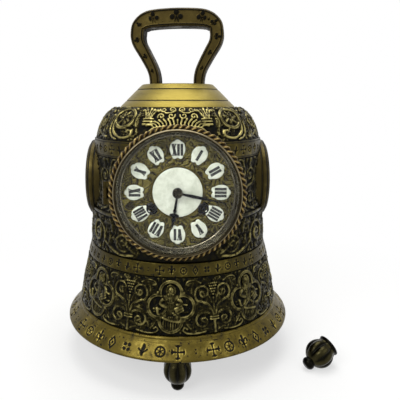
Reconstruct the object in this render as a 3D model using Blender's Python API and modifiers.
"""A table clock in the form of a bell, with its case, dial, hands and spring movement.

Metres, +Z up. The clock stands on the floor at Z = 0 and its dial looks along -Y. The bell's axis stands
a little left of the origin, because one foot lies loose at the right and the box of both is centred.
"""

import math

import bmesh
import bpy
from mathutils import Euler, Matrix, Vector

mm = 0.001

# Bell casting. Heights are above the plane of the rim, and each part's rise is above the one below it.
rim_height = 29.0 * mm
bell_wall = 4.5 * mm
seat_gap = 0.3 * mm
fit_gap = 0.15 * mm
cut_overrun = 6.0 * mm
merge_distance = 0.002 * mm
bell_steps = 36
ring_steps = 32

lip_height = 15.0 * mm
lip_flare = 11.8 * mm
lip_edge_thickness = 1.6 * mm
lip_flange_thickness = 3.0 * mm
lip_flange_width = 20.4 * mm
lip_bead_width = 0.8 * mm
lip_bead_drop = 1.6 * mm

skirt_rise = 44.5 * mm
skirt_belly_rise = 19.8 * mm
skirt_setback = 0.6 * mm
skirt_belly = 4.9 * mm
skirt_taper = 8.6 * mm

waist_rise = 10.8 * mm
waist_proud = 1.3 * mm
waist_taper = 2.5 * mm

body_setback = 1.2 * mm
body_taper = 4.4 * mm
body_margin = 24.6 * mm
moulding_rise = 1.4 * mm
lower_panel_rise = 33.2 * mm
upper_band_width = 14.0 * mm
upper_band_proud = 0.6 * mm
cove_rise = 5.5 * mm
cove_depth = 4.0 * mm
shoulder_rise = 22.0 * mm
shoulder_ledge = 10.0 * mm

crown_rise = 21.1 * mm
crown_seat = 3.9 * mm
crown_taper = 20.5 * mm
crown_margin = 8.19325 * mm
crown_wall = 4.0 * mm
crown_groove_depth = 0.7 * mm
crown_groove_width = 1.2 * mm
crown_groove_height_shares = (0.28, 0.765)

# Handle, drawn as half of its outer outline. Heights are above the crown.
handle_height = 69.0 * mm
handle_half_width = 43.1 * mm
handle_depth = 18.0 * mm
handle_bevel = 1.6 * mm
handle_leg_width = 8.6 * mm
handle_side_width = 11.8 * mm
handle_top_width = 15.0 * mm
handle_yaw = math.radians(-7.0)
handle_outline_shares = (
    (0.585, 0.0), (0.60, 0.10), (0.66, 0.20), (0.79, 0.37), (0.895, 0.49), (0.965, 0.58),
    (1.0, 0.69), (0.97, 0.79), (0.88, 0.875), (0.73, 0.945), (0.50, 0.985), (0.0, 1.0),
)
handle_width_shares = (0.0, 0.04, 0.12, 0.40, 0.65, 0.86, 1.0, 1.0, 1.0, 1.0, 1.0, 1.0)
handle_tenon_radius = 3.0 * mm
handle_tenon_length = 9.0 * mm
handle_nut_radius = 6.0 * mm
handle_nut_thickness = 3.0 * mm

# Feet: a lobed bud with a small ball under it. Depths are below the rim.
foot_inset = 13.4 * mm
foot_ball_radius = 11.6 * mm
foot_ball_depth = 12.4 * mm
foot_collar_radius = 8.6 * mm
foot_neck_radius = 4.9 * mm
foot_neck_depth = 22.6 * mm
foot_tip_radius = 5.3 * mm
foot_tip_depth = 25.4 * mm
foot_pad_radius = 2.4 * mm
foot_lobes = 8
foot_lobe_rise_share = 0.1
foot_stud_radius = 2.2 * mm
foot_stud_length = 7.0 * mm
foot_angles = (math.radians(-90.0), math.radians(30.0), math.radians(150.0))
foot_names = ("front_foot", "rear_right_foot", "rear_left_foot")
loose_foot_reach = 137.0 * mm
loose_foot_forward = 61.0 * mm
loose_foot_heading = math.radians(202.0)

# Front and back rings that are let into the bell, and the side roundels.
dial_margin = 5.3 * mm
dial_setback = 1.0 * mm
band_drop = 27.6 * mm
ring_wall = 4.0 * mm
door_ring_wall = 5.0 * mm
ring_depth = 35.0 * mm
ledge_width = 3.4 * mm
ledge_front_depth = 1.8 * mm
ledge_thickness = 7.4 * mm
roundel_bore_radius = 27.5 * mm
roundel_width = 8.2 * mm
roundel_proud = 2.0 * mm
roundel_depth = 20.0 * mm
roundel_ridge = 1.3 * mm
roundel_panel_recess = 3.5 * mm
roundel_panel_thickness = 2.4 * mm

# Bezel: gold rope ring, silver sight ring and glass. Depths run out towards the viewer.
bezel_gap = 0.3 * mm
ring_front = 1.0 * mm
bezel_thickness = 9.6 * mm
bezel_lip_thickness = 1.3 * mm
bezel_rebate_width = 1.1 * mm
bezel_plain_width = 0.8 * mm
rope_radius = 2.35 * mm
rope_inset = 0.6 * mm
rope_twists = 32
rope_lay_share = 0.11
glass_thickness = 1.6 * mm
glass_crown = 0.6 * mm
sight_lap = 0.6 * mm
sight_wall = 0.9 * mm
hinge_knuckle_radius = 2.2 * mm
hinge_pin_radius = 0.9 * mm
hinge_knuckle_length = 8.0 * mm
hinge_side_gap = 0.7 * mm
hinge_leaf_thickness = 2.6 * mm
door_plate_thickness = 1.6 * mm
door_rim_width = 3.0 * mm
door_knob_radius = 3.4 * mm
door_knob_height = 6.0 * mm

# Dial.
dial_thickness = 1.5 * mm
dial_fit = 0.4 * mm
dial_bore_radius = 3.1 * mm
enamel_radius = 19.7 * mm
enamel_thickness = 1.0 * mm
winding_spacing = 41.2 * mm
winding_drop = 13.0 * mm
winding_hole_radius = 3.2 * mm
plaque_radius = 33.9 * mm
plaque_length = 13.8 * mm
plaque_width = 12.2 * mm
plaque_thickness = 1.2 * mm
plaque_outline_shares = (
    (0.0, 0.50), (0.20, 0.45), (0.40, 0.29), (0.50, 0.02), (0.40, -0.28), (0.24, -0.48), (0.0, -0.42),
)

# Hands. Heights are above the dial plate.
hour_hand_height = 2.2 * mm
minute_hand_height = 4.3 * mm
hand_thickness = 0.6 * mm
hand_nut_height = 5.1 * mm
hand_nut_radius = 4.0 * mm
hand_nut_thickness = 1.7 * mm
minute_hand_length = 38.5 * mm
minute_hand_width = 2.9 * mm
minute_hand_boss = 3.4 * mm
hour_hand_length = 29.0 * mm
hour_hand_width = 7.4 * mm
hour_hand_boss = 3.9 * mm
minute_hand_angle = math.radians(-102.0)
hour_hand_angle = math.radians(-188.5)
minute_outline_shares = ((0.09, 0.22), (0.45, 0.30), (0.62, 0.50), (0.74, 0.46), (0.88, 0.22), (1.0, 0.05))
hour_outline_shares = (
    (0.13, 0.14), (0.42, 0.11), (0.47, 0.24), (0.50, 0.46), (0.55, 0.50), (0.61, 0.40), (0.63, 0.20),
    (0.68, 0.26), (0.74, 0.22), (0.78, 0.10), (1.0, 0.04),
)

# Movement. Depths are behind the front of the dial plate.
plate_margin = 5.641 * mm
plate_fit = 0.6 * mm
plate_thickness = 2.0 * mm
plate_spacing = 24.0 * mm
pillar_radius = 2.2 * mm
pillar_inset = 4.4 * mm
pillar_angles = (math.radians(40.0), math.radians(140.0), math.radians(255.0), math.radians(285.0))
arbor_radius = 1.0 * mm
arbor_end = 0.5 * mm
hammer_arbor_radius = 1.2 * mm
shaft_steps = 8
hole_steps = 16

barrel_radius = 17.4 * mm
barrel_depth = 12.0 * mm
barrel_wall = 1.2 * mm
barrel_arbor_radius = 3.0 * mm
barrel_teeth = 44
centre_pinion_leaves = 11
great_wheel_thickness = 2.0 * mm
centre_wheel_teeth = 42
third_pinion_leaves = 7
centre_distance = 14.3 * mm
third_wheel_teeth = 36
escape_pinion_leaves = 6
third_distance = 10.1 * mm
escape_height = 23.0 * mm
escape_teeth = 30
escape_radius = 8.0 * mm
wheel_thickness = 1.3 * mm
pinion_side = 0.7 * mm
tooth_addendum_share = 0.62
tooth_dedendum_share = 1.55
tooth_tip_share = 0.07

# Each wheel's distance from the plate it stands nearer to.
great_wheel_rise = 2.5 * mm
third_wheel_rise = 6.5 * mm
escape_wheel_rise = 13.5 * mm
centre_wheel_drop = 4.0 * mm
strike_wheel_drop = 7.5 * mm
cannon_rise = 0.6 * mm
hour_wheel_rise = 2.5 * mm

cannon_leaves = 10
motion_distance = 12.0 * mm
minute_wheel_teeth = 30
minute_pinion_leaves = 8
hour_wheel_teeth = 32
cannon_radius = 1.6 * mm
cannon_bore = 1.15 * mm
hour_pipe_radius = 2.5 * mm
hour_pipe_bore = 1.8 * mm
minute_wheel_angle = math.radians(20.0)
minute_post_radius = 0.9 * mm

anchor_height = 34.4 * mm
anchor_swing = math.radians(4.0)
anchor_thickness = 2.4 * mm
anchor_hub_radius = 2.4 * mm
pallet_spread = 6.4 * mm
pallet_drop = 5.1 * mm
pallet_width = 1.5 * mm
crutch_length = 20.0 * mm
crutch_thickness = 1.2 * mm
crutch_width = 2.0 * mm
crutch_fork_gap = 0.35 * mm

pendulum_length = 112.0 * mm
pendulum_rod_radius = 0.9 * mm
pendulum_bob_radius = 14.0 * mm
pendulum_bob_thickness = 7.0 * mm
pendulum_depth = 46.0 * mm
rating_nut_radius = 2.6 * mm
rating_nut_height = 3.0 * mm
cock_width = 11.0 * mm
cock_height = 6.0 * mm
cock_rise = 3.2 * mm
cock_depth = 13.0 * mm
suspension_width = 4.0 * mm
suspension_thickness = 0.6 * mm

strike_bell_radius = 27.0 * mm
strike_bell_height = 17.0 * mm
strike_bell_wall = 1.4 * mm
strike_bell_depth = 60.0 * mm
strike_bell_place = (17.0 * mm, 6.0 * mm)
strike_post_radius = 2.0 * mm
hammer_place = (30.0 * mm, -31.0 * mm)
hammer_head_radius = 3.0 * mm
hammer_head_length = 9.0 * mm
hammer_angle = math.radians(-45.0)
hammer_standoff = 0.5 * mm
hammer_arm_width = 2.0 * mm
strap_radius = 1.7 * mm

# The case is built round the movement: plates hold the barrels, rings the plates and the bell the rings.
barrel_distance = math.hypot(winding_spacing / 2.0, winding_drop)
plate_radius = barrel_distance + barrel_radius + plate_margin
pillar_place = plate_radius - pillar_inset
ring_bore_radius = plate_radius + plate_fit
ring_outer_radius = ring_bore_radius + ring_wall
door_ring_bore_radius = ring_outer_radius - door_ring_wall
ledge_radius = ring_bore_radius - ledge_width
dial_radius = ring_bore_radius - dial_fit
bezel_lip_radius = ring_bore_radius - seat_gap
bezel_rebate_radius = ring_bore_radius + bezel_rebate_width
bezel_plain_radius = bezel_rebate_radius + bezel_plain_width
rope_ring_radius = ring_outer_radius - rope_inset
sight_radius = ledge_radius + sight_lap
roundel_radius = roundel_bore_radius + roundel_width

body_middle_radius = ring_outer_radius + body_margin
body_foot_radius = body_middle_radius + body_taper
upper_band_radius = body_middle_radius + upper_band_proud
shoulder_radius = upper_band_radius - cove_depth
waist_top_radius = body_foot_radius + body_setback
waist_foot_radius = waist_top_radius + waist_taper
skirt_top_radius = waist_foot_radius - waist_proud
skirt_belly_radius = skirt_top_radius + skirt_belly
skirt_foot_radius = skirt_top_radius + skirt_taper
lip_top_radius = skirt_foot_radius + skirt_setback
lip_bead_radius = lip_top_radius + lip_bead_width
rim_radius = lip_top_radius + lip_flare
lip_flange_radius = rim_radius - lip_flange_width
foot_circle_radius = rim_radius - foot_inset
dial_forward = body_foot_radius - dial_setback
roundel_reach = body_foot_radius + roundel_proud
crown_top_radius = handle_half_width * handle_outline_shares[0][0] + crown_margin
crown_foot_radius = crown_top_radius + crown_taper
shoulder_top_radius = crown_foot_radius + crown_seat

lip_bead_height = lip_height - lip_bead_drop
skirt_belly_height = lip_height + skirt_belly_rise
skirt_top_height = lip_height + skirt_rise
waist_height = skirt_top_height + waist_rise
lower_moulding_height = waist_height + lower_panel_rise
dial_height = waist_height + ring_outer_radius + dial_margin
upper_band_foot_height = dial_height + ring_outer_radius - band_drop
upper_band_top_height = upper_band_foot_height + upper_band_width
shoulder_height = upper_band_top_height + cove_rise
body_top_height = shoulder_height + shoulder_rise
crown_top_height = body_top_height + crown_rise


def clear_scene():
    """Remove the startup scene's objects."""
    for item in list(bpy.data.objects):
        bpy.data.objects.remove(item, do_unlink=True)


def new_collection(name):
    """A collection linked to the scene."""
    made = bpy.data.collections.new(name)
    bpy.context.scene.collection.children.link(made)
    return made


clear_scene()
parts = new_collection("bell_clock")
cutters = new_collection("bell_clock_cutters")
cutters.hide_render = True


def new_material(name, colour, roughness, metallic):
    """A Principled material with one colour, roughness and metallic value."""
    made = bpy.data.materials.new(name)
    made.use_nodes = True
    shader = made.node_tree.nodes["Principled BSDF"]
    shader.inputs["Base Color"].default_value = (*colour, 1.0)
    shader.inputs["Roughness"].default_value = roughness
    shader.inputs["Metallic"].default_value = metallic
    return made


old_gold = new_material("old_gold_brass", (0.45, 0.33, 0.10), 0.42, 1.0)
polished_brass = new_material("polished_brass", (0.62, 0.47, 0.16), 0.28, 1.0)
dark_bronze = new_material("dark_bronze", (0.10, 0.085, 0.04), 0.45, 1.0)
relief_bronze = new_material("relief_bronze", (0.22, 0.19, 0.09), 0.5, 1.0)
dial_bronze = new_material("dial_bronze", (0.18, 0.14, 0.06), 0.45, 1.0)
silvered = new_material("silvered_brass", (0.45, 0.43, 0.40), 0.35, 1.0)
enamel = new_material("white_enamel", (0.78, 0.80, 0.76), 0.15, 0.0)
blued_steel = new_material("blued_steel", (0.02, 0.02, 0.025), 0.3, 0.9)
steel = new_material("bright_steel", (0.45, 0.45, 0.46), 0.3, 1.0)
clear_glass = new_material("clear_glass", (0.9, 0.95, 0.95), 0.03, 0.0)


def empty(name, location, rotation=(0.0, 0.0, 0.0), parent=None):
    """An empty that carries other objects."""
    made = bpy.data.objects.new(name, None)
    parts.objects.link(made)
    made.parent = parent
    made.location = location
    made.rotation_euler = rotation
    return made


def place(item, paint, parent, location=(0.0, 0.0, 0.0), rotation=(0.0, 0.0, 0.0)):
    """Give an object its material, its carrier and its place on it."""
    if not item.data.materials:
        item.data.materials.append(paint)
    item.parent = parent
    item.location = location
    item.rotation_euler = rotation
    return item


def as_cutter(item):
    """Move an object to the cutters, where it is drawn as wire and not rendered."""
    parts.objects.unlink(item)
    cutters.objects.link(item)
    item.hide_render = True
    item.display_type = "WIRE"
    return item


def boolean(item, tool, operation="DIFFERENCE"):
    """Cut, or join, an object with a tool that becomes a cutter."""
    if tool.name in parts.objects:
        as_cutter(tool)
    step = item.modifiers.new(operation.lower(), "BOOLEAN")
    step.operation = operation
    step.object = tool
    step.solver = "EXACT"
    return item


def mesh_object(name, builder):
    """An object from a bmesh that builder fills."""
    mesh = bpy.data.meshes.new(name)
    grown = bmesh.new()
    builder(grown)
    bmesh.ops.recalc_face_normals(grown, faces=grown.faces)
    grown.to_mesh(mesh)
    grown.free()
    made = bpy.data.objects.new(name, mesh)
    parts.objects.link(made)
    return made


def soften(item, degrees=38.0):
    """Shade a mesh smooth, with sharp edges kept."""
    item.data.shade_smooth()
    item.data.set_sharp_from_angle(angle=math.radians(degrees))
    return item


def as_mesh(item):
    """Turn a curve, or an object with modifiers, into a plain mesh object of the same name."""
    bpy.context.view_layer.update()
    graph = bpy.context.evaluated_depsgraph_get()
    mesh = bpy.data.meshes.new_from_object(item.evaluated_get(graph))
    grown = bmesh.new()
    grown.from_mesh(mesh)
    bmesh.ops.remove_doubles(grown, verts=grown.verts, dist=merge_distance)
    bmesh.ops.recalc_face_normals(grown, faces=grown.faces)
    grown.to_mesh(mesh)
    grown.free()
    name = item.name
    made = bpy.data.objects.new(name, mesh)
    parts.objects.link(made)
    made.matrix_world = item.matrix_world
    bpy.data.objects.remove(item, do_unlink=True)
    made.name = name
    return made


def turned(name, profile, steps, closed=True):
    """Turn a profile of (radius, height) points, which runs down its outer side, round Z."""
    count = len(profile)
    edges = [(i, i + 1) for i in range(count - 1)]
    if closed:
        edges.append((count - 1, 0))
    mesh = bpy.data.meshes.new(name)
    mesh.from_pydata([(radius, 0.0, height) for radius, height in profile], edges, [])
    made = bpy.data.objects.new(name, mesh)
    parts.objects.link(made)
    screw = made.modifiers.new("turn", "SCREW")
    screw.axis = "Z"
    screw.angle = math.tau
    screw.steps = steps
    screw.render_steps = steps
    screw.use_merge_vertices = True
    screw.merge_threshold = merge_distance
    screw.use_smooth_shade = False
    return soften(as_mesh(made))


def tube(name, outer, bore, low, high, steps=shaft_steps):
    """A plain round tube from height low to height high."""
    return turned(name, [(outer, high), (outer, low), (bore, low), (bore, high)], steps)


def rod(name, radius, low, high, steps=shaft_steps):
    """A plain round rod from height low to height high."""
    return turned(name, [(0.0, high), (radius, high), (radius, low), (0.0, low)], steps, closed=False)


def box(name, low, high):
    """A box between two corners, from a primitive cube."""
    size = [b - a for a, b in zip(low, high)]
    middle = [(a + b) / 2.0 for a, b in zip(low, high)]

    def build(grown):
        matrix = Matrix.Translation(middle) @ Matrix.Diagonal((*size, 1.0))
        bmesh.ops.create_cube(grown, size=1.0, matrix=matrix)

    return mesh_object(name, build)


def plate(name, outlines, low, high):
    """A flat plate whose first outline is its edge and whose others are holes, from low to high."""
    curve = bpy.data.curves.new(name, "CURVE")
    curve.dimensions = "2D"
    curve.fill_mode = "BOTH"
    curve.extrude = (high - low) / 2.0
    for outline in outlines:
        spline = curve.splines.new("POLY")
        spline.points.add(len(outline) - 1)
        spline.use_cyclic_u = True
        for point, (x, y) in zip(spline.points, outline):
            point.co = (x, y, 0.0, 1.0)
    made = bpy.data.objects.new(name, curve)
    parts.objects.link(made)
    flat = as_mesh(made)
    flat.data.transform(Matrix.Translation((0.0, 0.0, (low + high) / 2.0)))
    return flat


def circle(radius, count, centre=(0.0, 0.0), turn=0.0):
    """Points round a circle."""
    angles = [turn + math.tau * i / count for i in range(count)]
    return [(centre[0] + radius * math.cos(a), centre[1] + radius * math.sin(a)) for a in angles]


def move_mesh(item, offset):
    """Move an object's mesh, so that its origin stays where it was."""
    item.data.transform(Matrix.Translation(offset))
    return item


def wall_profile(outer, wall):
    """A closed wall profile: the outer line, then the same line set in by the wall, level for level."""
    return list(outer) + [(radius - wall, height) for radius, height in reversed(outer)]


clock_shift = -(loose_foot_reach - rim_radius) / 2.0
clock = empty("clock_axis", (clock_shift, 0.0, rim_height))
facing_viewer = (math.pi / 2.0, 0.0, 0.0)
facing_back = (math.pi / 2.0, 0.0, math.pi)
dial = empty("dial_centre", (0.0, -dial_forward, dial_height), facing_viewer, clock)
back = empty("back_centre", (0.0, dial_forward, dial_height), facing_back, clock)


def lip_profile():
    """Section of the flared lip: a cone with a bead above, and a flange that the feet hold."""
    inside = lip_top_radius - bell_wall
    cone_foot = rim_radius - bell_wall - lip_flange_thickness
    return [
        (lip_top_radius, lip_height),
        (lip_bead_radius, lip_bead_height),
        (rim_radius, lip_edge_thickness),
        (rim_radius, 0.0),
        (lip_flange_radius, 0.0),
        (lip_flange_radius, lip_flange_thickness),
        (cone_foot, lip_flange_thickness),
        (inside, lip_bead_height - lip_edge_thickness),
        (inside, lip_height),
    ]


def make_lip():
    """The lip ring, with a stud for each foot."""
    lip = turned("lip_ring", lip_profile(), bell_steps)
    for angle in foot_angles:
        stud = rod("lip_stud", foot_stud_radius, -foot_stud_length, lip_flange_thickness / 2.0)
        centre = (foot_circle_radius * math.cos(angle), foot_circle_radius * math.sin(angle), 0.0)
        boolean(lip, place(move_mesh(stud, centre), old_gold, clock), "UNION")
    return place(lip, old_gold, clock)


def skirt_profile():
    """Outer line of the skirt, from the waist down to the lip."""
    foot = lip_height + seat_gap
    rise = skirt_top_height - skirt_belly_height
    flare = skirt_belly_radius - skirt_top_radius
    return [
        (skirt_top_radius, skirt_top_height),
        (skirt_top_radius + 0.42 * flare, skirt_top_height - 0.5 * rise),
        (skirt_belly_radius, skirt_belly_height),
        (skirt_foot_radius, foot),
    ]


def waist_profile():
    """Outer line of the flat band round the waist."""
    return [(waist_top_radius, waist_height), (waist_foot_radius, skirt_top_height + seat_gap)]


def body_profile():
    """Outer line of the body: ledge, shoulder, upper band, relief panel, thin moulding and foot."""
    rise = body_top_height - shoulder_height
    inset = shoulder_radius - shoulder_top_radius
    return [
        (shoulder_top_radius - shoulder_ledge, body_top_height),
        (shoulder_top_radius, body_top_height),
        (shoulder_radius - 0.45 * inset, shoulder_height + 0.66 * rise),
        (shoulder_radius - 0.14 * inset, shoulder_height + 0.28 * rise),
        (shoulder_radius, shoulder_height),
        (upper_band_radius, upper_band_top_height),
        (upper_band_radius, upper_band_foot_height),
        (body_middle_radius, upper_band_foot_height - moulding_rise),
        (body_middle_radius + moulding_rise, lower_moulding_height + moulding_rise),
        (body_middle_radius + 2.0 * moulding_rise, lower_moulding_height),
        (body_foot_radius, waist_height + seat_gap),
    ]


def body_wall():
    """The body's closed wall profile, whose inside is plain: foot, middle, shoulder and ledge."""
    return body_profile() + [
        (body_foot_radius - bell_wall, waist_height + seat_gap),
        (body_middle_radius - bell_wall, upper_band_foot_height),
        (shoulder_radius - bell_wall * 1.2, shoulder_height),
        (shoulder_top_radius - bell_wall, body_top_height - bell_wall),
        (shoulder_top_radius - shoulder_ledge, body_top_height - bell_wall),
    ]


def make_bell():
    """The cast shells of the bell, with round openings for the dial, the door and the roundels."""
    skirt = turned("skirt_shell", wall_profile(skirt_profile(), bell_wall), bell_steps)
    place(skirt, relief_bronze, clock)
    waist = turned("waist_band", wall_profile(waist_profile(), bell_wall), bell_steps)
    place(waist, old_gold, clock)
    body = turned("body_shell", body_wall(), bell_steps)
    place(body, relief_bronze, clock)
    reach = body_foot_radius + cut_overrun
    front_cut = rod("dial_opening", ring_outer_radius + seat_gap, -reach, reach, ring_steps)
    place(front_cut, relief_bronze, clock, (0.0, 0.0, dial_height), facing_viewer)
    boolean(body, front_cut)
    side_cut = rod("roundel_opening", roundel_radius + seat_gap, -reach, reach, ring_steps)
    place(side_cut, relief_bronze, clock, (0.0, 0.0, dial_height), (0.0, math.pi / 2.0, 0.0))
    boolean(body, side_cut)


def crown_profile():
    """Section of the crown cap: a stepped cone with a flat top and two turned grooves."""
    foot = body_top_height + seat_gap
    slope = (crown_foot_radius - crown_top_radius) / (crown_top_height - foot)
    outer = [(0.0, crown_top_height), (crown_top_radius, crown_top_height)]
    for share in sorted(crown_groove_height_shares, reverse=True):
        middle = foot + share * (crown_top_height - foot)
        for side, depth in ((0.5, 0.0), (0.0, crown_groove_depth), (-0.5, 0.0)):
            height = middle + side * crown_groove_width
            outer.append((crown_top_radius + slope * (crown_top_height - height) - depth, height))
    outer.append((crown_foot_radius, foot))
    inner_foot = crown_foot_radius - crown_wall * math.hypot(1.0, slope)
    inner_height = crown_top_height - crown_wall
    inner_top = inner_foot - slope * (inner_height - foot)
    return outer + [(inner_foot, foot), (inner_top, inner_height), (0.0, inner_height)]


def leg_centre():
    """Distance of each leg's middle from the handle's middle, at the crown."""
    return handle_half_width * handle_outline_shares[0][0] - handle_leg_width / 2.0


def tenon_places():
    """The two places on the crown where the handle's tenons go through, with the handle's turn."""
    reach = leg_centre()
    turn = (math.cos(handle_yaw), math.sin(handle_yaw))
    return [(side * reach * turn[0], side * reach * turn[1]) for side in (-1.0, 1.0)]


def make_crown():
    """The crown cap, bored for the handle's tenons, and the nuts under it."""
    crown = turned("crown_cap", crown_profile(), bell_steps, closed=False)
    under = crown_top_height - crown_wall
    for side, (x, y) in zip(("left", "right"), tenon_places()):
        hole = rod(f"tenon_hole_{side}", handle_tenon_radius + seat_gap, under - cut_overrun,
                   crown_top_height + cut_overrun, hole_steps)
        boolean(crown, place(move_mesh(hole, (x, y, 0.0)), old_gold, clock))
        sides = [circle(handle_nut_radius, 6), circle(handle_tenon_radius + fit_gap, hole_steps)]
        nut = plate(f"handle_nut_{side}", sides, under - seat_gap - handle_nut_thickness, under - seat_gap)
        place(nut, steel, clock, (x, y, 0.0))
    return place(crown, polished_brass, clock)


def handle_outline():
    """Outer half outline and inner half outline of the stirrup, from the crown up to the middle."""
    outer = [Vector((x * handle_half_width, z * handle_height)) for x, z in handle_outline_shares]
    inner = []
    for index, point in enumerate(outer):
        before = outer[max(index - 1, 0)]
        after = outer[min(index + 1, len(outer) - 1)]
        along = (after - before).normalized()
        inward = Vector((-along.y, along.x))
        share = handle_width_shares[index]
        width = handle_leg_width + share * (handle_side_width - handle_leg_width)
        rise = max(0.0, (point.y / handle_height - 0.84) / 0.16)
        width += rise * (handle_top_width - handle_side_width)
        if index == 0:
            inward = Vector((-1.0, 0.0))
        if index == len(outer) - 1:
            inward = Vector((0.0, -1.0))
        inner.append(point + inward * width)
    return outer, inner


def make_handle():
    """The stirrup handle: a flat outline with depth and bevelled edges, and a tenon under each leg."""
    outer, inner = handle_outline()
    right = [(p.x, p.y) for p in outer]
    left = [(-p.x, p.y) for p in reversed(outer[:-1])]
    inner_left = [(-p.x, p.y) for p in inner[:-1]]
    inner_right = [(p.x, p.y) for p in reversed(inner)]
    outline = right + left + inner_left + inner_right
    handle = plate("handle", [outline], -handle_depth / 2.0, handle_depth / 2.0)
    handle.data.transform(Matrix.Rotation(math.pi / 2.0, 4, "X"))
    bevel = handle.modifiers.new("edge", "BEVEL")
    bevel.width = handle_bevel
    bevel.segments = 1
    bevel.limit_method = "ANGLE"
    bevel.angle_limit = math.radians(60.0)
    handle = as_mesh(handle)
    crown_gap = crown_top_height + seat_gap
    for side in (-1.0, 1.0):
        tenon = rod("handle_tenon", handle_tenon_radius, -handle_tenon_length, handle_bevel)
        move_mesh(tenon, (side * leg_centre(), 0.0, 0.0))
        place(tenon, dark_bronze, clock, (0.0, 0.0, crown_gap), (0.0, 0.0, handle_yaw))
        boolean(handle, tenon, "UNION")
    return place(handle, dark_bronze, clock, (0.0, 0.0, crown_gap), (0.0, 0.0, handle_yaw))


def foot_profile():
    """Section of a foot, from the blind hole for its stud, over the bud, down to the pad under its tip."""
    bore = foot_stud_radius + seat_gap
    hole = foot_stud_length + seat_gap
    top = seat_gap
    points = [(0.0, -hole), (bore, -hole), (bore, -top), (foot_collar_radius, -top)]
    start = math.asin(foot_collar_radius / foot_ball_radius)
    stop = math.pi - math.asin(foot_neck_radius / foot_ball_radius)
    for share in (0.3, 0.55, 0.8, 1.0):
        turn = start + share * (stop - start)
        reach = foot_ball_radius * math.cos(turn)
        points.append((foot_ball_radius * math.sin(turn), -foot_ball_depth + reach))
    points.append((foot_tip_radius, -foot_tip_depth + foot_neck_radius / 4.0))
    points.append((foot_tip_radius * 0.9, -foot_tip_depth - foot_neck_radius / 4.0))
    points.append((foot_pad_radius, -rim_height))
    points.append((0.0, -rim_height))
    return points


def foot_mesh():
    """The foot's mesh: the turned bud, drawn in along grooves so that lobes stand between them."""
    shape = turned("foot_form", foot_profile(), foot_lobes * 2, closed=False)
    for vertex in shape.data.vertices:
        radius = math.hypot(vertex.co.x, vertex.co.y)
        bulge = (radius - foot_neck_radius) / (foot_ball_radius - foot_neck_radius)
        if bulge > 0.0 and vertex.co.z < -foot_stud_radius:
            angle = math.atan2(vertex.co.y, vertex.co.x)
            groove = max(0.0, math.cos(foot_lobes * angle))
            scale = 1.0 - foot_lobe_rise_share * bulge * groove
            vertex.co.x *= scale
            vertex.co.y *= scale
    mesh = shape.data
    bpy.data.objects.remove(shape, do_unlink=True)
    return mesh


def make_feet():
    """Three feet under the lip, and one more that lies loose on the floor on its ball and its tip."""
    mesh = foot_mesh()
    mesh.materials.append(dark_bronze)
    for name, angle in zip(foot_names, foot_angles):
        foot = bpy.data.objects.new(name, mesh)
        parts.objects.link(foot)
        centre = (foot_circle_radius * math.cos(angle), foot_circle_radius * math.sin(angle), 0.0)
        place(foot, dark_bronze, clock, centre)
    loose = bpy.data.objects.new("loose_foot", mesh)
    parts.objects.link(loose)
    tilt = math.asin((foot_ball_radius - foot_tip_radius) / (foot_tip_depth - foot_ball_depth))
    level = math.cos(tilt)
    way = Vector((level * math.cos(loose_foot_heading), level * math.sin(loose_foot_heading),
                  -math.sin(tilt)))
    turn = Vector((0.0, 0.0, -1.0)).rotation_difference(way)
    corners = [turn @ vertex.co for vertex in mesh.vertices]
    right = max(corner.x for corner in corners)
    low = min(corner.z for corner in corners)
    middle = turn @ Vector((0.0, 0.0, -foot_ball_depth))
    loose.rotation_euler = turn.to_euler()
    loose.location = (clock_shift + loose_foot_reach - right, -loose_foot_forward - middle.y, -low)


def ring_profile(bore, with_ledge):
    """Section of a ring that is let into the bell. Its front stands ring_front proud of its origin."""
    rear = -(ring_depth - ring_front)
    points = [(ring_outer_radius, ring_front), (ring_outer_radius, rear), (bore, rear)]
    if with_ledge:
        low = -ledge_front_depth - ledge_thickness
        top = -ledge_front_depth
        points += [(bore, low), (ledge_radius, low), (ledge_radius, top), (bore, top)]
    return points + [(bore, ring_front)]


hinge_x = -(rope_ring_radius + rope_radius + hinge_knuckle_radius + hinge_side_gap)
hinge_z = ring_front + bezel_gap / 2.0
knuckle_step = hinge_knuckle_length + bezel_gap


def knuckle(name, low, high):
    """A hinge knuckle round the hinge line, which runs along local Y."""
    made = rod(name, hinge_knuckle_radius, low, high, 12)
    made.data.transform(Matrix.Rotation(-math.pi / 2.0, 4, "X"))
    return move_mesh(made, (hinge_x, 0.0, hinge_z))


def pin_hole(name, reach):
    """The cutter that bores a knuckle for the hinge pin."""
    made = rod(name, hinge_pin_radius + fit_gap, -reach, reach, 12)
    made.data.transform(Matrix.Rotation(-math.pi / 2.0, 4, "X"))
    return move_mesh(made, (hinge_x, 0.0, hinge_z))


def add_fixed_knuckle(ring, paint, parent, label):
    """Join the middle knuckle and its leaf to a fixed ring."""
    half = hinge_knuckle_length / 2.0
    leaf = box(f"{label}_leaf", (hinge_x, -half, ring_front - hinge_leaf_thickness),
               (-(ring_outer_radius + ring_bore_radius) / 2.0, half, ring_front - fit_gap))
    boolean(ring, place(leaf, paint, parent), "UNION")
    boolean(ring, place(knuckle(f"{label}_knuckle", -half, half), paint, parent), "UNION")
    boolean(ring, place(pin_hole(f"{label}_bore", knuckle_step * 2.0), paint, parent))


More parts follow.
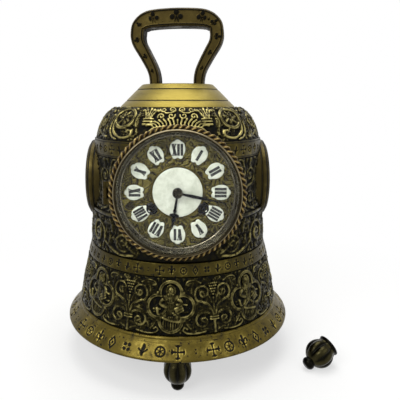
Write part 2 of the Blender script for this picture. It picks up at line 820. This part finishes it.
def add_moving_knuckles(ring, paint, parent, label, edge_radius):
    """Join the two outer knuckles and their leaves to a bezel or a door."""
    low = hinge_knuckle_length / 2.0 + bezel_gap
    high = low + hinge_knuckle_length * 0.6
    for side in (-1.0, 1.0):
        start, stop = sorted((side * low, side * high))
        leaf = box(f"{label}_leaf", (hinge_x, start, ring_front + bezel_gap + fit_gap),
                   (-edge_radius, stop, ring_front + bezel_gap + hinge_leaf_thickness))
        boolean(ring, place(leaf, paint, parent), "UNION")
        boolean(ring, place(knuckle(f"{label}_knuckle", start, stop), paint, parent), "UNION")
    boolean(ring, place(pin_hole(f"{label}_bore", knuckle_step * 2.0), paint, parent))


def make_hinge_pin(name, parent):
    """The pin of a hinge, as long as its three knuckles."""
    reach = hinge_knuckle_length / 2.0 + bezel_gap + hinge_knuckle_length * 0.6 + fit_gap
    pin = rod(name, hinge_pin_radius, -reach, reach, 12)
    pin.data.transform(Matrix.Rotation(-math.pi / 2.0, 4, "X"))
    return place(pin, steel, parent, (hinge_x, 0.0, hinge_z))


def make_rings():
    """The fixed rings at the front and the back, and the straps that join them."""
    front = turned("front_ring", ring_profile(ring_bore_radius, True), ring_steps)
    place(front, dark_bronze, dial)
    add_fixed_knuckle(front, dark_bronze, dial, "front")
    rear = turned("back_ring", ring_profile(door_ring_bore_radius, False), ring_steps)
    place(rear, dark_bronze, back)
    add_fixed_knuckle(rear, dark_bronze, back, "back")
    reach = dial_forward - (ring_depth - ring_front) - seat_gap
    radius = (ring_outer_radius + ring_bore_radius) / 2.0
    for side, name in ((-1.0, "strap_left"), (1.0, "strap_right")):
        strap = rod(name, strap_radius, -reach, reach, 12)
        place(strap, steel, clock, (side * radius, 0.0, dial_height), facing_viewer)
    make_hinge_pin("bezel_hinge_pin", dial)
    make_hinge_pin("door_hinge_pin", back)


def roundel_profile():
    """Section of a roundel frame: a ring with a rounded, ridged front."""
    low = roundel_reach - roundel_depth
    high = roundel_reach
    width = roundel_radius - roundel_bore_radius
    return [
        (roundel_bore_radius + 0.25 * width, high),
        (roundel_bore_radius + 0.45 * width, high - roundel_ridge),
        (roundel_bore_radius + 0.62 * width, high - 0.4 * roundel_ridge),
        (roundel_radius, high - 3.0 * roundel_ridge),
        (roundel_radius, low),
        (roundel_bore_radius, low),
        (roundel_bore_radius, high - 1.4 * roundel_ridge),
    ]


def make_roundels():
    """The two side roundels, each a frame and the panel that sits in it."""
    for side, name in ((-1.0, "left"), (1.0, "right")):
        turn = (0.0, side * math.pi / 2.0, 0.0)
        centre = (0.0, 0.0, dial_height)
        frame = turned(f"roundel_frame_{name}", roundel_profile(), ring_steps)
        place(frame, old_gold, clock, centre, turn)
        face = roundel_reach - roundel_panel_recess
        radius = roundel_bore_radius - seat_gap
        panel = turned(f"roundel_panel_{name}", [
            (0.0, face), (radius, face - roundel_ridge),
            (radius, face - roundel_panel_thickness), (0.0, face - roundel_panel_thickness),
        ], ring_steps, closed=False)
        place(panel, relief_bronze, clock, centre, turn)


def rope_sections():
    """Sections of the bezel round the dial: a plain ring inside, and two twisted strands outside."""
    low = ring_front + bezel_gap
    high = low + bezel_thickness
    rope_height = low + bezel_thickness * 0.52
    steps = rope_twists * 2
    sections = []
    for index in range(steps):
        turn = math.tau * index / steps
        section = [
            (bezel_plain_radius, high),
            (bezel_lip_radius, high),
            (bezel_lip_radius, high - bezel_lip_thickness),
            (bezel_rebate_radius, high - bezel_lip_thickness),
            (bezel_rebate_radius, low),
            (rope_ring_radius, low),
        ]
        for spoke in range(-1, 4):
            around = math.radians(32.0 * spoke)
            lay = 1.0 + rope_lay_share * (math.cos(2.0 * around + rope_twists * turn) - 1.0)
            section.append((rope_ring_radius + rope_radius * lay * math.cos(around),
                            rope_height + rope_radius * lay * math.sin(around)))
        sections.append([(r * math.cos(turn), r * math.sin(turn), z) for r, z in section])
    return sections


def loft_ring(name, sections):
    """A closed ring skinned through sections with the same number of points."""
    count = len(sections[0])

    def build(grown):
        rows = [[grown.verts.new(point) for point in section] for section in sections]
        for index, row in enumerate(rows):
            following = rows[(index + 1) % len(rows)]
            for k in range(count):
                after = (k + 1) % count
                grown.faces.new((row[k], row[after], following[after], following[k]))

    return soften(mesh_object(name, build), 50.0)


def make_bezel():
    """The hinged bezel, its silver sight ring and its crowned glass."""
    bezel = loft_ring("rope_bezel", rope_sections())
    place(bezel, polished_brass, dial)
    add_moving_knuckles(bezel, polished_brass, dial, "bezel", bezel_rebate_radius + rope_radius / 2.0)
    low = ring_front + bezel_gap
    glass_front = low + bezel_thickness - bezel_lip_thickness - seat_gap
    glass_rear = glass_front - glass_thickness
    radius = bezel_rebate_radius - seat_gap
    glass = turned("bezel_glass", [
        (0.0, glass_front), (radius * 0.6, glass_front - glass_crown * 0.4),
        (radius, glass_front - glass_crown),
        (radius, glass_rear - glass_crown), (0.0, glass_rear),
    ], ring_steps, closed=False)
    place(glass, clear_glass, dial)
    high = glass_rear - glass_crown - seat_gap
    sight = turned("sight_ring", [
        (radius, high), (radius, high - sight_wall * 2.0),
        (sight_radius, low), (sight_radius - sight_wall, low),
    ], ring_steps)
    place(sight, silvered, dial)


def make_door():
    """The hinged back door: a shallow dished plate with a rim and a knob."""
    low = ring_front + bezel_gap
    radius = ring_outer_radius + hinge_side_gap
    inner = radius - door_rim_width
    face = low + door_plate_thickness
    door = turned("back_door", [
        (0.0, face), (inner, face), (inner, face + door_rim_width * 0.5),
        (radius, face), (radius, low), (0.0, low),
    ], ring_steps, closed=False)
    place(door, old_gold, back)
    add_moving_knuckles(door, old_gold, back, "door", radius - door_rim_width)
    knob = turned("door_knob", [
        (0.0, face + door_knob_height), (door_knob_radius, face + door_knob_height * 0.7),
        (door_knob_radius * 0.5, face + door_knob_height * 0.3),
        (door_knob_radius * 0.5, face - door_plate_thickness / 2.0), (0.0, face - door_plate_thickness / 2.0),
    ], 12, closed=False)
    move_mesh(knob, (inner - door_rim_width * 3.0, 0.0, 0.0))
    boolean(door, place(knob, old_gold, back), "UNION")


def winding_places():
    """The two winding arbors' places on the dial: strike on the left, going on the right."""
    side = winding_spacing / 2.0
    return {"strike": (-side, -winding_drop), "going": (side, -winding_drop)}


def mirrored(half):
    """A closed outline from its right half, which runs from the top to the bottom."""
    left = [(-x, y) for x, y in reversed(half) if x > 0.0]
    return half + left


def make_dial():
    """The engraved dial plate, its enamel centre and the twelve numeral plaques."""
    holes = [circle(dial_bore_radius, hole_steps)]
    holes += [circle(winding_hole_radius, hole_steps, centre) for centre in winding_places().values()]
    dial_plate = plate("dial_plate", [circle(dial_radius, ring_steps)] + holes, -dial_thickness, 0.0)
    place(dial_plate, dial_bronze, dial)
    low = seat_gap
    high = low + enamel_thickness
    centre = turned("enamel_centre", [
        (dial_bore_radius, high), (enamel_radius, high - enamel_thickness * 0.4),
        (enamel_radius, low), (dial_bore_radius, low),
    ], 32)
    place(centre, enamel, dial)
    half = [(x * plaque_width, y * plaque_length) for x, y in plaque_outline_shares]
    outline = mirrored(half)
    for hour in range(1, 13):
        plaque = plate(f"numeral_plaque_{hour}", [outline], low, low + plaque_thickness)
        move_mesh(plaque, (0.0, plaque_radius, 0.0))
        place(plaque, enamel, dial, (0.0, 0.0, 0.0), (0.0, 0.0, -math.tau * hour / 12.0))


def gear_outline(teeth, module, turn):
    """Outline of a gear with tapered teeth and V-shaped gaps. One tooth points along turn."""
    pitch = math.tau / teeth
    root = (teeth / 2.0 - tooth_dedendum_share) * module
    tip = (teeth / 2.0 + tooth_addendum_share) * module
    outline = []
    for index in range(teeth):
        middle = turn + index * pitch
        for share, radius in ((-0.5, root), (-tooth_tip_share, tip), (tooth_tip_share, tip)):
            angle = middle + share * pitch
            outline.append((radius * math.cos(angle), radius * math.sin(angle)))
    return outline


def meshing_turn(driver_teeth, driver_turn, teeth, direction):
    """The turn of a gear that sits along direction from its driver, with a gap facing the driver's tooth."""
    pitch = math.tau / teeth
    offset = driver_turn - direction
    return direction + math.pi + pitch / 2.0 - offset * driver_teeth / teeth


barrel_module = 2.0 * barrel_distance / (barrel_teeth + centre_pinion_leaves)
centre_module = 2.0 * centre_distance / (centre_wheel_teeth + third_pinion_leaves)
third_module = 2.0 * third_distance / (third_wheel_teeth + escape_pinion_leaves)
third_y = (centre_distance ** 2 - third_distance ** 2 + escape_height ** 2) / (2.0 * escape_height)
third_x = -math.sqrt(centre_distance ** 2 - third_y ** 2)
cannon_module = 2.0 * motion_distance / (cannon_leaves + minute_wheel_teeth)
hour_module = 2.0 * motion_distance / (minute_pinion_leaves + hour_wheel_teeth)

# Depths of the plates and of each wheel in the movement, as heights on the dial's own axis.
front_plate_high = -(ledge_front_depth + ledge_thickness + seat_gap)
front_plate_low = front_plate_high - plate_thickness
back_plate_high = front_plate_low - plate_spacing
back_plate_low = back_plate_high - plate_thickness
arbor_low = back_plate_high - arbor_end
arbor_high = front_plate_low + arbor_end
great_wheel_low = back_plate_high + great_wheel_rise
centre_wheel_low = front_plate_low - centre_wheel_drop
third_wheel_low = back_plate_high + third_wheel_rise
escape_wheel_low = back_plate_high + escape_wheel_rise
strike_wheel_low = front_plate_low - strike_wheel_drop
cannon_low = front_plate_high + cannon_rise
hour_wheel_low = cannon_low + hour_wheel_rise


def wheel_and_pinion(name, arbor, wheel, pinion, paint, location):
    """One body of an arbor, a wheel and a pinion. Each is given as its heights and its outline."""
    radius, low, high = arbor
    body = rod(name, radius, low, high)
    place(body, paint, dial, location)
    for label, item in (("wheel", wheel), ("pinion", pinion)):
        if item:
            outline, item_low, item_high = item
            disc = plate(f"{name}_{label}", [outline], item_low, item_high)
            boolean(body, place(disc, paint, dial, location), "UNION")
    return body


def make_train():
    """The going train from the centre wheel to the escape wheel, in mesh at rest."""
    going = winding_places()["going"]
    down = math.atan2(going[1], going[0])
    centre_turn = math.atan2(third_y, third_x)
    pinion_turn = meshing_turn(barrel_teeth, down + math.pi, centre_pinion_leaves, down + math.pi)
    centre_end = hand_nut_height - hand_thickness
    wheel_and_pinion(
        "centre_wheel", (arbor_radius, arbor_low, centre_end),
        (gear_outline(centre_wheel_teeth, centre_module, centre_turn), centre_wheel_low,
         centre_wheel_low + wheel_thickness),
        (gear_outline(centre_pinion_leaves, barrel_module, pinion_turn), great_wheel_low - pinion_side / 2.0,
         great_wheel_low + great_wheel_thickness + pinion_side / 2.0),
        polished_brass, (0.0, 0.0, 0.0))
    third_pinion_turn = meshing_turn(centre_wheel_teeth, centre_turn, third_pinion_leaves, centre_turn)
    escape_way = math.atan2(escape_height - third_y, -third_x)
    wheel_and_pinion(
        "third_wheel", (arbor_radius, arbor_low, arbor_high),
        (gear_outline(third_wheel_teeth, third_module, escape_way), third_wheel_low,
         third_wheel_low + wheel_thickness),
        (gear_outline(third_pinion_leaves, centre_module, third_pinion_turn), centre_wheel_low - pinion_side,
         centre_wheel_low + wheel_thickness + pinion_side),
        polished_brass, (third_x, third_y, 0.0))
    escape_turn = meshing_turn(third_wheel_teeth, escape_way, escape_pinion_leaves, escape_way)
    teeth = []
    for index in range(escape_teeth):
        for share, radius in ((0.0, escape_radius), (0.35, escape_radius * 0.84)):
            angle = math.tau * (index + share) / escape_teeth
            teeth.append((radius * math.cos(angle), radius * math.sin(angle)))
    wheel_and_pinion(
        "escape_wheel", (arbor_radius, arbor_low, arbor_high),
        (teeth, escape_wheel_low, escape_wheel_low + wheel_thickness),
        (gear_outline(escape_pinion_leaves, third_module, escape_turn), third_wheel_low - pinion_side,
         third_wheel_low + wheel_thickness + pinion_side),
        polished_brass, (0.0, escape_height, 0.0))


def barrel_profile(low):
    """Section of a hollow barrel, open to its arbor's bore."""
    high = low + barrel_depth
    bore = barrel_arbor_radius + fit_gap
    inside = barrel_radius - barrel_wall
    return [
        (bore, high), (barrel_radius, high), (barrel_radius, low), (bore, low), (bore, low + barrel_wall),
        (inside, low + barrel_wall), (inside, high - barrel_wall), (bore, high - barrel_wall),
    ]


def make_barrels():
    """The two spring barrels with their great wheels, and the winding arbors through them."""
    for name, (x, y) in winding_places().items():
        inward = math.atan2(-y, -x)
        if name == "going":
            wheel_low = great_wheel_low
            drum_low = great_wheel_low + great_wheel_thickness / 2.0
        else:
            wheel_low = strike_wheel_low
            drum_low = strike_wheel_low + great_wheel_thickness / 2.0 - barrel_depth
        barrel = turned(f"{name}_barrel", barrel_profile(drum_low), 24)
        place(barrel, polished_brass, dial, (x, y, 0.0))
        rim = [circle(barrel_radius - barrel_wall / 2.0, 24)]
        outline = gear_outline(barrel_teeth, barrel_module, inward)
        wheel = plate(f"{name}_great_wheel", [outline] + rim, wheel_low, wheel_low + great_wheel_thickness)
        boolean(barrel, place(wheel, polished_brass, dial, (x, y, 0.0)), "UNION")
        arbor = turned(f"{name}_winding_arbor", [
            (0.0, arbor_high), (arbor_radius * 2.0, arbor_high),
            (arbor_radius * 2.0, arbor_high - arbor_end * 2.0),
            (barrel_arbor_radius, arbor_high - arbor_end * 4.0),
            (barrel_arbor_radius, arbor_low + arbor_end * 2.0), (arbor_radius, arbor_low + arbor_end * 2.0),
            (arbor_radius, arbor_low), (0.0, arbor_low),
        ], shaft_steps, closed=False)
        place(arbor, steel, dial, (x, y, 0.0))
        square = arbor_radius * 1.6
        key = box(f"{name}_square", (-square, -square, arbor_high - arbor_end * 3.0),
                  (square, square, enamel_thickness))
        boolean(arbor, place(key, steel, dial, (x, y, 0.0)), "UNION")


def make_plates():
    """The front plate with its riveted pillars and minute post, and the back plate with the bell's post."""
    square = winding_places()
    arbor_hole = arbor_radius + fit_gap
    key_hole = arbor_radius * 1.6 * math.sqrt(2.0) + fit_gap
    pivots = [(0.0, 0.0), (third_x, third_y), (0.0, escape_height), (0.0, anchor_height)]
    holes = [circle(arbor_hole, shaft_steps, centre) for centre in pivots]
    holes += [circle(key_hole, hole_steps, centre) for centre in square.values()]
    outlines = [circle(plate_radius, ring_steps)] + holes
    front = plate("front_plate", outlines, front_plate_low, front_plate_high)
    place(front, polished_brass, dial)
    for angle in pillar_angles:
        x = pillar_place * math.cos(angle)
        y = pillar_place * math.sin(angle)
        pillar = rod("pillar", pillar_radius, back_plate_high + seat_gap, front_plate_high - arbor_end, 12)
        boolean(front, place(pillar, polished_brass, dial, (x, y, 0.0)), "UNION")
    post_x = motion_distance * math.cos(minute_wheel_angle)
    post_y = motion_distance * math.sin(minute_wheel_angle)
    post_high = hour_wheel_low + 2.0 * wheel_thickness
    post = rod("minute_post", minute_post_radius, front_plate_low + arbor_end, post_high, 12)
    boolean(front, place(post, polished_brass, dial, (post_x, post_y, 0.0)), "UNION")
    holes = [circle(arbor_hole, shaft_steps, centre) for centre in pivots[:3] + list(square.values())]
    holes.append(circle(arbor_radius + 2.0 * fit_gap, shaft_steps, (0.0, anchor_height)))
    holes.append(circle(hammer_arbor_radius + fit_gap, shaft_steps, hammer_place))
    rear = plate("back_plate", [circle(plate_radius, ring_steps)] + holes, back_plate_low, back_plate_high)
    place(rear, polished_brass, dial)
    stud_low = -strike_bell_depth - strike_bell_height + strike_bell_wall * 2.0
    stud = rod("bell_post", strike_post_radius, stud_low, back_plate_high - arbor_end, 12)
    boolean(rear, place(stud, polished_brass, dial, (*strike_bell_place, 0.0)), "UNION")


def make_motion_work():
    """Cannon pinion, minute wheel and hour wheel: twelve turns of the minute hand give the hour hand one."""
    away = minute_wheel_angle
    tube_high = hand_nut_height + hand_nut_thickness / 2.0
    cannon = tube("cannon_pinion", cannon_radius, cannon_bore, cannon_low, tube_high)
    place(cannon, steel, dial)
    leaves = [gear_outline(cannon_leaves, cannon_module, away), circle(cannon_radius * 0.85, shaft_steps)]
    boolean(cannon, place(plate("cannon_leaves", leaves, cannon_low, cannon_low + wheel_thickness * 1.4),
                          steel, dial), "UNION")
    post = (motion_distance * math.cos(away), motion_distance * math.sin(away), 0.0)
    wheel_turn = meshing_turn(cannon_leaves, away, minute_wheel_teeth, away)
    bore = minute_post_radius + fit_gap
    wheel = plate("minute_wheel", [gear_outline(minute_wheel_teeth, cannon_module, wheel_turn),
                                   circle(bore, shaft_steps)], cannon_low + pinion_side / 2.0,
                  cannon_low + pinion_side / 2.0 + wheel_thickness * 0.8)
    place(wheel, polished_brass, dial, post)
    pinion = plate("minute_pinion", [gear_outline(minute_pinion_leaves, hour_module, away + math.pi),
                                     circle(bore, shaft_steps)], cannon_low + wheel_thickness * 0.8,
                   hour_wheel_low + wheel_thickness * 1.5)
    boolean(wheel, place(pinion, polished_brass, dial, post), "UNION")
    hour_turn = meshing_turn(minute_pinion_leaves, away + math.pi, hour_wheel_teeth, away + math.pi)
    pipe_high = hour_hand_height + hand_thickness
    hour = tube("hour_wheel", hour_pipe_radius, hour_pipe_bore, hour_wheel_low, pipe_high)
    place(hour, polished_brass, dial)
    disc = plate("hour_disc", [gear_outline(hour_wheel_teeth, hour_module, hour_turn),
                               circle((hour_pipe_radius + hour_pipe_bore) / 2.0, shaft_steps)],
                 hour_wheel_low, hour_wheel_low + wheel_thickness)
    boolean(hour, place(disc, polished_brass, dial), "UNION")


def hand_outline(boss, length, width, shares):
    """Outline of a hand that points up: a round boss, then a blade from shares of length and width."""
    blade = [(share_w * width, share_l * length) for share_l, share_w in shares]
    start = math.asin(min(0.9, blade[0][0] / boss))
    right = []
    steps = 10
    for index in range(steps + 1):
        angle = start + (math.pi - start) * index / steps
        right.append((boss * math.sin(angle), boss * math.cos(angle)))
    right = list(reversed(blade)) + right
    tidy = [point for point in right if point[0] > 0.02 * boss]
    tidy.append((0.0, -boss))
    return tidy + [(-x, y) for x, y in reversed(tidy[:-1])]


def make_hands():
    """The two blued hands and the collet that holds the minute hand."""
    minute = plate("minute_hand", [
        hand_outline(minute_hand_boss, minute_hand_length, minute_hand_width, minute_outline_shares),
        circle(cannon_radius + fit_gap, hole_steps)], minute_hand_height, minute_hand_height + hand_thickness)
    place(minute, blued_steel, dial, (0.0, 0.0, 0.0), (0.0, 0.0, minute_hand_angle))
    hour = plate("hour_hand", [
        hand_outline(hour_hand_boss, hour_hand_length, hour_hand_width, hour_outline_shares),
        circle(hour_pipe_radius + fit_gap, hole_steps)], hour_hand_height, hour_hand_height + hand_thickness)
    place(hour, blued_steel, dial, (0.0, 0.0, 0.0), (0.0, 0.0, hour_hand_angle))
    top = hand_nut_height + hand_nut_thickness
    nut = turned("hand_nut", [
        (cannon_radius + fit_gap, top), (hand_nut_radius * 0.75, top),
        (hand_nut_radius, top - hand_nut_thickness / 2.0),
        (hand_nut_radius * 0.9, hand_nut_height), (cannon_radius + fit_gap, hand_nut_height),
    ], 20)
    place(nut, dark_bronze, dial)


def make_escapement():
    """The anchor with its arbor and crutch. It swings with the pendulum."""
    high = anchor_thickness / 2.0
    spread = pallet_spread
    drop = -pallet_drop
    hub = anchor_hub_radius
    half = [(0.0, hub), (hub, hub * 0.8), (spread, drop * 0.35), (spread + pallet_width, drop * 0.7),
            (spread + pallet_width * 0.6, drop), (spread, drop), (spread - pallet_width * 0.5, drop * 0.62),
            (hub, -hub * 0.4), (0.0, -hub)]
    outline = mirrored(half)
    middle = escape_wheel_low + wheel_thickness / 2.0
    depth = pendulum_depth
    crutch_back = -depth - pendulum_rod_radius * 2.0
    crutch_front = -depth + suspension_width / 2.0 + crutch_thickness + seat_gap
    place_at = (0.0, anchor_height, 0.0)
    anchor = rod("anchor", arbor_radius, crutch_front - crutch_thickness, arbor_high)
    place(anchor, steel, dial, place_at)
    pallets = plate("anchor_pallets", [outline], middle - high, middle + high)
    boolean(anchor, place(pallets, steel, dial, place_at), "UNION")
    arm = box("crutch_arm", (-crutch_width / 2.0, -crutch_length, crutch_front - crutch_thickness),
              (crutch_width / 2.0, hub, crutch_front))
    boolean(anchor, place(arm, steel, dial, place_at), "UNION")
    grip = pendulum_rod_radius + crutch_fork_gap
    foot_low = -crutch_length - crutch_width / 2.0
    foot_high = -crutch_length + crutch_width / 2.0
    yoke = box("crutch_yoke", (-grip - crutch_thickness, foot_low, crutch_front - crutch_thickness * 0.9),
               (grip + crutch_thickness, foot_high, crutch_front - crutch_thickness * 0.1))
    boolean(anchor, place(yoke, steel, dial, place_at), "UNION")
    for side in (-1.0, 1.0):
        start, stop = sorted((side * grip, side * (grip + crutch_thickness * 0.8)))
        prong = box("crutch_prong", (start, foot_low + fit_gap, crutch_back),
                    (stop, foot_high - fit_gap, crutch_front - crutch_thickness / 2.0))
        boolean(anchor, place(prong, steel, dial, place_at), "UNION")


def make_pendulum():
    """The pendulum: spring strip, rod, bob and rating nut, hung from a cock on the back plate."""
    place_at = (0.0, anchor_height, -pendulum_depth)
    rod_low = -pendulum_length - pendulum_bob_radius - rating_nut_height * 2.0
    body = rod("pendulum", pendulum_rod_radius, rod_low, -cock_rise, 12)
    body.data.transform(Matrix.Rotation(-math.pi / 2.0, 4, "X"))
    place(body, polished_brass, dial, place_at)
    thin = suspension_thickness / 2.0
    wide = suspension_width / 2.0
    strip = box("suspension", (-thin, -cock_rise - suspension_width, -wide), (thin, cock_rise - seat_gap, wide))
    boolean(body, place(strip, steel, dial, place_at), "UNION")
    half = pendulum_bob_thickness / 2.0
    bob = turned("pendulum_bob", [
        (0.0, half), (pendulum_bob_radius * 0.7, half * 0.8), (pendulum_bob_radius, half * 0.15),
        (pendulum_bob_radius, -half * 0.15), (pendulum_bob_radius * 0.7, -half * 0.8), (0.0, -half),
    ], 24, closed=False)
    move_mesh(bob, (0.0, -pendulum_length, 0.0))
    boolean(body, place(bob, polished_brass, dial, place_at), "UNION")
    nut_high = -pendulum_length - pendulum_bob_radius - rating_nut_height * 0.5
    nut = rod("rating_nut", rating_nut_radius, nut_high - rating_nut_height, nut_high, 12)
    nut.data.transform(Matrix.Rotation(-math.pi / 2.0, 4, "X"))
    boolean(body, place(nut, polished_brass, dial, place_at), "UNION")
    side = cock_width / 2.0
    foot = anchor_height + cock_rise
    back_face = back_plate_low - seat_gap
    low = (-side, foot, back_face - cock_depth)
    cock = box("suspension_cock", low, (side, foot + cock_height, back_face))
    place(cock, polished_brass, dial)


def make_strike():
    """The strike bell on its post, and the hammer that swings up to its rim."""
    x, y = strike_bell_place
    mouth = -strike_bell_depth
    crown = mouth - strike_bell_height
    outer = [
        (strike_bell_radius, mouth), (strike_bell_radius * 0.88, mouth - strike_bell_height * 0.5),
        (strike_bell_radius * 0.50, mouth - strike_bell_height * 0.92),
        (strike_post_radius + fit_gap, crown),
    ]
    inner = []
    for radius, height in outer[1:]:
        wall = strike_bell_wall if radius > strike_post_radius * 2.0 else 0.0
        inner.append((radius - wall, height + strike_bell_wall))
    profile = outer + inner[::-1] + [(strike_bell_radius - strike_bell_wall, mouth)]
    bell = turned("strike_bell", profile, 24)
    place(bell, polished_brass, dial, (x, y, 0.0))
    way = Vector((math.cos(hammer_angle), math.sin(hammer_angle)))
    contact = strike_bell_radius + hammer_standoff
    head_middle = Vector((x, y)) + way * (contact + hammer_head_length / 2.0)
    pivot = Vector(hammer_place)
    level = mouth - hammer_head_radius * 1.2
    arbor = rod("hammer", hammer_arbor_radius, level - hammer_arm_width, back_plate_high + arbor_end)
    place(arbor, steel, dial, (pivot.x, pivot.y, 0.0))
    reach = head_middle - pivot
    arm = box("hammer_arm", (-hammer_arm_width / 2.0, -hammer_arm_width, level - hammer_arm_width / 2.0),
              (hammer_arm_width / 2.0, reach.length, level + hammer_arm_width / 2.0))
    arm.data.transform(Matrix.Rotation(math.atan2(-reach.x, reach.y), 4, "Z"))
    boolean(arbor, place(arm, steel, dial, (pivot.x, pivot.y, 0.0)), "UNION")
    head = rod("hammer_head", hammer_head_radius, -hammer_head_length / 2.0, hammer_head_length / 2.0)
    head.data.transform(Euler((0.0, math.pi / 2.0, hammer_angle)).to_matrix().to_4x4())
    move_mesh(head, (reach.x, reach.y, level))
    boolean(arbor, place(head, steel, dial, (pivot.x, pivot.y, 0.0)), "UNION")


make_lip()
make_bell()
make_crown()
make_handle()
make_feet()
make_rings()
make_roundels()
make_bezel()
make_door()
make_dial()
make_plates()
make_train()
make_barrels()
make_motion_work()
make_hands()
make_escapement()
make_pendulum()
make_strike()
bpy.context.view_layer.update()
